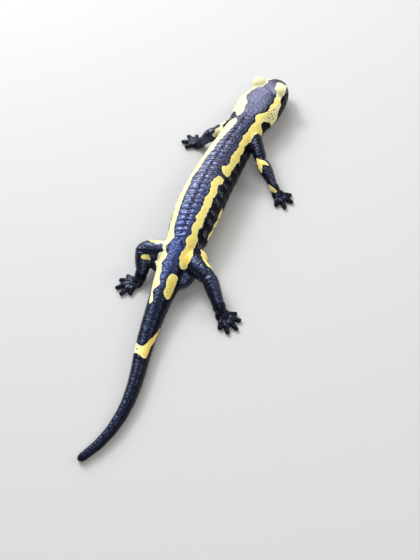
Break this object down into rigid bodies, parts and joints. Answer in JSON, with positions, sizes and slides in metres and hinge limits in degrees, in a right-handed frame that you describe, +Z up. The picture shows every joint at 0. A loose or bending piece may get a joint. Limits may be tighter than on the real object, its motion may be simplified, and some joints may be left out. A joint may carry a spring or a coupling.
{
  "type": "fire salamander",
  "caption": "Life-size fire salamander standing still: round snout, gland pads behind the eyes, striped trunk, sprawled legs and a tapering curved tail.",
  "frame": {"origin": "on the floor under the middle of the trunk, on the flat where the belly rests", "axes": "+Z up, the head towards -Y and the tail towards +Y, +X towards the animal's left"},
  "size_m": [0.0588, 0.1778, 0.0162],
  "materials": {
    "skin": "moist, smooth, satin to glossy, near-black with yellow markings",
    "eye": "wet gloss, near-black"
  },
  "bodies": {
    "root": {"head": "skin", "lower_jaw": "skin", "neck": "skin", "trunk": "skin", "tail_root": "skin", "tail_middle": "skin", "tail_tip": "skin", "right_upper_arm": "skin", "right_forearm": "skin", "right_hand": "skin", "right_thigh": "skin", "right_shank": "skin", "right_foot": "skin", "left_upper_arm": "skin", "left_forearm": "skin", "left_hand": "skin", "left_thigh": "skin", "left_shank": "skin", "left_foot": "skin", "left_eye": "eye", "right_eye": "eye"}
  },
  "joints": []
}
